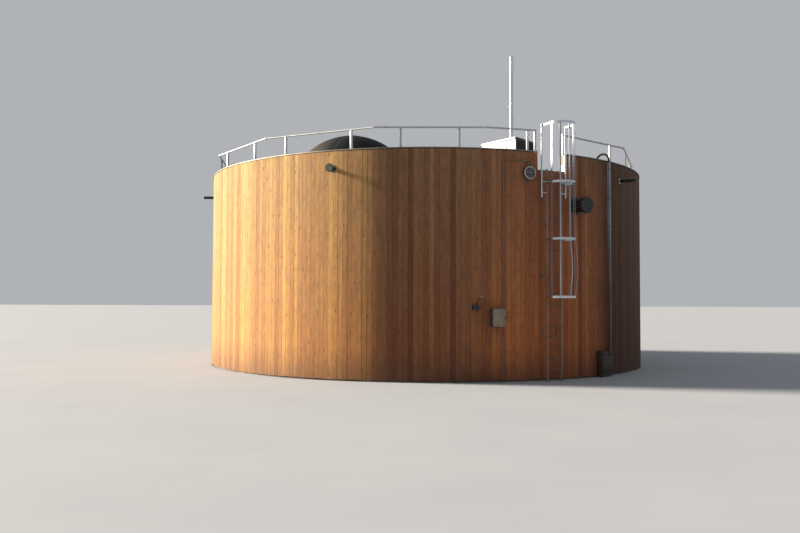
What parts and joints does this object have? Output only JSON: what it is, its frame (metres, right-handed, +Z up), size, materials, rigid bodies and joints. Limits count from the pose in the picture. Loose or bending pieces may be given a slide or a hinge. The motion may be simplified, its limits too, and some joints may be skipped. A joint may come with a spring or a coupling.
{
  "type": "timber-clad biogas digester tank",
  "caption": "Round concrete digester tank clad in upright timber boards, with a flat roof, gas dome, guard rail, vent pipe and a caged ladder",
  "frame": {"origin": "on the tank's upright axis, at ground level, in the middle of the underside of the floor slab", "axes": "+Z up; -Y is the front that the picture shows; the caged ladder stands about 26 degrees from -Y towards +X; +X to the right of the front"},
  "size_m": [14.5553, 14.357, 9.84],
  "materials": {
    "concrete": "cast concrete, matt",
    "timber": "sawn larch boards, untreated",
    "galvanised": "hot-dip galvanised steel",
    "bright_metal": "mill-finish aluminium",
    "membrane": "dark grey gas membrane",
    "white_sheet": "white painted sheet",
    "black_plastic": "black polyethylene",
    "dark_paint": "dark grey painted steel",
    "beige_plastic": "beige grey enclosure",
    "lens": "dark lamp glass"
  },
  "bodies": {
    "root": {"floor_slab": "concrete", "roof_slab": "concrete", "tank_wall_1": "concrete", "tank_wall_2": "concrete", "tank_wall_3": "concrete", "tank_wall_4": "concrete", "timber_cladding_1": "timber", "timber_cladding_2": "timber", "timber_cladding_3": "timber", "timber_cladding_4": "timber", "timber_cladding_5": "timber", "timber_cladding_6": "timber", "notch_lining": "bright_metal", "parapet_coping_1": "galvanised", "parapet_coping_2": "galvanised", "parapet_coping_3": "galvanised", "parapet_coping_4": "galvanised", "ladder": "galvanised", "cage_hoop_1": "bright_metal", "cage_hoop_2": "bright_metal", "cage_hoop_3": "bright_metal", "cage_hoop_4": "bright_metal", "cage_strip_1": "bright_metal", "cage_strip_2": "bright_metal", "cage_strip_3": "bright_metal", "cage_strip_4": "bright_metal", "cage_strip_5": "bright_metal", "exit_grab_rail_left": "bright_metal", "exit_grab_rail_right": "bright_metal", "guard_rail_1": "galvanised", "guard_rail_2": "galvanised", "guard_rail_3": "galvanised", "guard_rail_4": "galvanised", "gas_dome": "membrane", "dome_clamping_ring": "galvanised", "housing_plinth": "concrete", "housing_body": "white_sheet", "housing_lid": "white_sheet", "vent_stack": "galvanised", "junction_box_body": "dark_paint", "junction_box_lid": "beige_plastic", "conduit_lower": "galvanised", "conduit_upper": "galvanised", "lamp_housing": "galvanised", "lamp_glass": "lens", "probe_head": "black_plastic", "probe_cable": "black_plastic", "transfer_pipe": "black_plastic", "transfer_pipe_flange": "galvanised", "gas_pipe": "dark_paint", "gas_pipe_flange": "galvanised", "rain_spout_1": "black_plastic", "rain_spout_2": "black_plastic", "rain_spout_3": "black_plastic", "rain_spout_4": "black_plastic", "ground_cabinet": "dark_paint", "cable_duct": "galvanised", "roof_hose": "black_plastic"}
  },
  "joints": []
}
